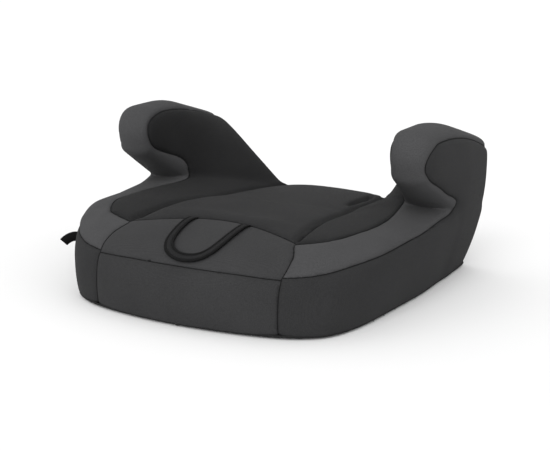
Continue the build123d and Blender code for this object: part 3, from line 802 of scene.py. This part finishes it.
def skin_height(x, y):
    """Height of the finished cover's upper surface at a place on the seat."""
    z = np.arange(40.0, 130.0, 0.25)
    inside = body_field(np.stack((np.full_like(z, x), np.full_like(z, y), z), 1)) < skin_stand
    return z[inside][-1]


def smooth_path(points, count):
    """Evenly spaced points on a Catmull-Rom line through the points."""
    p = np.array(points, float)
    p = np.concatenate([[2 * p[0] - p[1]], p, [2 * p[-1] - p[-2]]])
    rows = []
    for a, b, c, d in zip(p, p[1:], p[2:], p[3:]):
        rows += [between(a, b, c, d, t) for t in np.arange(16) / 16]
    rows = np.array(rows + [p[-2]])
    along = np.concatenate([[0], np.cumsum(np.linalg.norm(np.diff(rows, axis=0), axis=1))])
    even = np.linspace(0, along[-1], count)
    return np.stack([np.interp(even, along, rows[:, i]) for i in range(rows.shape[1])], 1)


def ribbon(name, path, across, section, material):
    """A strip of the given cross-section (sideways, upward) along a path, turned by the across vectors."""
    tangent = np.gradient(path, axis=0)
    tangent /= np.linalg.norm(tangent, axis=1)[:, None]
    side = across - tangent * (across * tangent).sum(1)[:, None]
    side /= np.linalg.norm(side, axis=1)[:, None]
    rise = np.cross(side, tangent)
    vertices, polygons = [], []
    count = len(section)
    for place, s_axis, r_axis in zip(path, side, rise):
        vertices += [place + s_axis * u + r_axis * v for u, v in section]
    for ring in range(len(path) - 1):
        for n in range(count):
            m = (n + 1) % count
            this, following = ring * count, (ring + 1) * count
            polygons.append((this + n, this + m, following + m, following + n))
    polygons.append(tuple(range(count - 1, -1, -1)))
    polygons.append(tuple((len(path) - 1) * count + n for n in range(count)))
    thing = make_object(name, np.array(vertices) * MM, polygons, material)
    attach(thing, "seat")
    return thing


# ---- the plastic shell's walls, just inside the cloth
shell_top = 72.0
shell_inset = 6.0
shell_thickness = 3.0
low_faces = [
    face for face, centre, panel in zip(faces, centres, face_panel)
    if centre[2] < shell_top and panel != "open"
]
shell_plastic = hard_material("shell_wall_plastic", (0.018, 0.018, 0.019), 0.5)
shell_walls = sheet_object(
    "seat_shell_walls", points - normal * shell_inset, low_faces, shell_plastic, shell_thickness
)
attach(shell_walls, "seat")
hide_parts("seat_shell")

# ---- hem: elastic binding turned under the shell
def outline_at(z, count):
    """Points round the body at one height, where the finished cover is."""
    angles = np.linspace(0, 2 * pi, count, endpoint=False)
    way = np.stack((np.cos(angles), np.sin(angles), np.zeros(count)), 1)
    low, high = np.full(count, 60.0), np.full(count, 330.0)
    for _ in range(24):
        middle = (low + high) / 2
        inside = body_field(way * middle[:, None] + np.array((0, 0, z))) < skin_stand
        low, high = np.where(inside, middle, low), np.where(inside, high, middle)
    return way * low[:, None], way


hem_count = 360
rim, way_out = outline_at(hem_height + 2, hem_count)
around = np.arange(hem_count)[:, None]
gather = 0.35 * np.sin(around * 2.1) + 0.2 * np.sin(around * 0.73)
# how far inside the rim, and how high; the part under the shell is gathered
hem_section = (
    (1.2, 5.4), (0.9, 4.0), (1.8, 2.6), (3.4, 1.9), (7.5, 1.7), (13.5, 1.9),
    (14.5, 2.6), (13.5, 3.3), (7.5, 3.4),
)
gathered_from = 3.0
hem_rings = []
for inward, z in hem_section:
    ring = rim - way_out * (inward + (gather if inward > gathered_from else 0))
    ring[:, 2] = z
    hem_rings.append(ring)
hem_faces = []
for k in range(len(hem_rings) - 1):
    for n in range(hem_count):
        m = (n + 1) % hem_count
        this, following = k * hem_count, (k + 1) * hem_count
        hem_faces.append((this + n, following + n, following + m, this + m))
hem = make_object("cover_hem_binding", np.concatenate(hem_rings) * MM, hem_faces, cloth["dark"])
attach(hem, "seat")
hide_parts("cover_hem")

# ---- pull loop: folded webbing with thick stitched edges, lying on the front of the seat
webbing = knit_material("webbing", grey(0.0025), grey(0.006), 0.7, 0.9, 0.5, 0.0)
webbing_middle = knit_material("webbing_middle", grey(0.009), grey(0.019), 0.8, 0.9, 0.5, 0.0)
loop_plan = (
    # x, y, height over the cover, tilt of the band in degrees
    (-36, -80, -7, 0), (-36, -92, -6, 0), (-36, -99, -2.5, 0), (-36, -105, 0.8, -4),
    (-37, -118, 1.8, -8), (-37, -138, 2.0, -10), (-34, -157, 2.2, -10), (-26, -171, 2.6, -12),
    (-13, -179, 2.8, -14), (1, -181, 3.0, -14), (14, -177, 3.0, -8), (22, -167, 3.0, 0),
    (26, -152, 2.8, 6), (29.5, -132, 2.6, 8), (32, -115, 2.0, 8), (33, -106, 0.8, 4),
    (33.5, -100, -2.5, 0), (34, -92, -6, 0), (34, -80, -7, 0),
)
loop_points = [(x, y, skin_height(x, y) + lift, tilt) for x, y, lift, tilt in loop_plan]
loop_path = smooth_path(loop_points, 150)
tangent = np.gradient(loop_path[:, :3], axis=0)
tangent /= np.linalg.norm(tangent, axis=1)[:, None]
panel_up = np.array([0, -0.38, 0.92])
flat = np.cross(tangent, panel_up)
flat /= np.linalg.norm(flat, axis=1)[:, None]
turn = np.radians(loop_path[:, 3])[:, None]
across = flat * np.cos(turn) + np.cross(tangent, flat) * -np.sin(turn)
half, thin, bead = 4.0, 0.7, 1.35
body_section = [(-half, -thin), (half, -thin), (half, thin), (-half, thin)]
band = ribbon("pull_loop_band", loop_path[:, :3], across, body_section, webbing_middle)
edge_circle = [(bead * cos(a), bead * sin(a)) for a in np.linspace(0, 2 * pi, 9)[:-1]]
bead_spread = 1.4
edges = []
for sign, word in ((-1, "outer"), (1, "inner")):
    section = [(sign * half + bead_spread * u, v) for u, v in edge_circle]
    edge_name = "pull_loop_%s_edge" % word
    edges.append(ribbon(edge_name, loop_path[:, :3], across, section, webbing))
for piece in [band, *edges]:
    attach(piece, "front_release")
    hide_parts("pull_loop")

# ---- blank side label, folded double and sewn into the seam at the left front corner
label_root = np.array((-175.0, -138.0, 64.0))
outward = np.array((-0.8, -0.6, 0.0))
label_droop = np.array((0, 0, -0.035))
along_label = np.linspace(-6, 14, 14)
label_path = np.array([label_root + outward * d + label_droop * d * d for d in along_label])
label_across = np.tile(np.array((-0.25, 0.1, -1.0)), (len(along_label), 1))
label_section = [(-6, -0.5), (6, -0.5), (6.2, 0), (6, 0.5), (-6, 0.5), (-6.2, 0)]
label = ribbon("side_label_tab", label_path, label_across, label_section, webbing)
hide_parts("side_label")

# ---- hard pieces and inner parts keep the CAD's shape and get a finish
black_plastic = hard_material("shell_plastic", (0.018, 0.018, 0.019), 0.5)
button_plastic = hard_material("button_plastic", (0.32, 0.02, 0.015), 0.38)
yoke_plastic = hard_material("yoke_plastic", (0.05, 0.05, 0.055), 0.45)
zinc_steel = hard_material("steel", (0.55, 0.55, 0.57), 0.36, 1.0, 700, 0.08)
rail_steel = hard_material("rail_steel", (0.42, 0.42, 0.44), 0.42, 1.0, 500, 0.1)
rubber = hard_material("rubber", (0.014, 0.014, 0.014), 0.75, 0.0, 900, 0.3)
foam = hard_material("foam", (0.2, 0.2, 0.21), 0.9, 0.0, 1200, 0.6)
finish_of_slot = {
    "shell_plastic": black_plastic, "button_plastic": button_plastic,
    "yoke_plastic": yoke_plastic, "steel": zinc_steel, "rail_steel": rail_steel,
    "rubber": rubber, "foam": foam, "webbing": webbing,
    "charcoal_cloth": cloth["charcoal"], "dark_cloth": cloth["dark"],
    "grey_cloth": cloth["grey"], "seat_cloth": cloth["seat"],
}
for node in frame["record"]["subparts"]:
    thing = bpy.data.objects.get(node["node"])
    if thing and thing.type == "MESH":
        thing.data.materials.clear()
        thing.data.materials.append(finish_of_slot[node["material_slot"]])

# ---- camera, floor and light
def direction(azimuth, elevation):
    """The unit vector towards a place, by degrees to the right of the front and degrees up."""
    a, e = radians(azimuth), radians(elevation)
    return Vector((sin(a) * cos(e), -cos(a) * cos(e), sin(e)))


back = direction(26.245, 13.665)
camera_roll = radians(1.0)
camera_place = Vector((0.5905, -1.1636, 0.3876))
camera_data = bpy.data.cameras.new("camera")
camera_data.lens = 72.67
camera_data.sensor_width = 36
camera = bpy.data.objects.new("camera", camera_data)
camera.location = camera_place
level = back.to_track_quat("Z", "Y").to_matrix()
camera.rotation_euler = (Matrix.Rotation(camera_roll, 3, back) @ level).to_euler()
bpy.context.scene.collection.objects.link(camera)
bpy.context.scene.camera = camera

floor_material, _, _, shader = shade("floor")
shader.inputs["Base Color"].default_value = (0.72, 0.72, 0.72, 1)
shader.inputs["Roughness"].default_value = 0.9
reach = 6.0
floor_corners = [(-reach, -reach, 0), (reach, -reach, 0), (reach, reach, 0), (-reach, reach, 0)]
floor = make_object("floor", floor_corners, [(0, 1, 2, 3)], floor_material, False)

world = bpy.data.worlds.new("studio")
world.use_nodes = True
background = world.node_tree.nodes["Background"]
background.inputs["Color"].default_value = (1, 1, 1, 1)
background.inputs["Strength"].default_value = 1.04
bpy.context.scene.world = world
bpy.context.scene.view_settings.view_transform = "Standard"


def add_light(name, kind, towards, energy):
    """A lamp that shines from the direction of a vector."""
    data = bpy.data.lights.new(name, kind)
    data.energy = energy
    thing = bpy.data.objects.new(name, data)
    thing.rotation_euler = towards.to_track_quat("Z", "Y").to_euler()
    bpy.context.scene.collection.objects.link(thing)
    return thing


top_place = Vector((-0.6, 0.5, 2.2))
top = add_light("top", "AREA", top_place - Vector((0, 0, 0.1)), 1.5)
top.location = top_place
top.data.shape = "DISK"
top.data.size = 1.2
sun = add_light("soft_front", "SUN", direction(12, 28), 2.7)
sun.data.angle = radians(50)
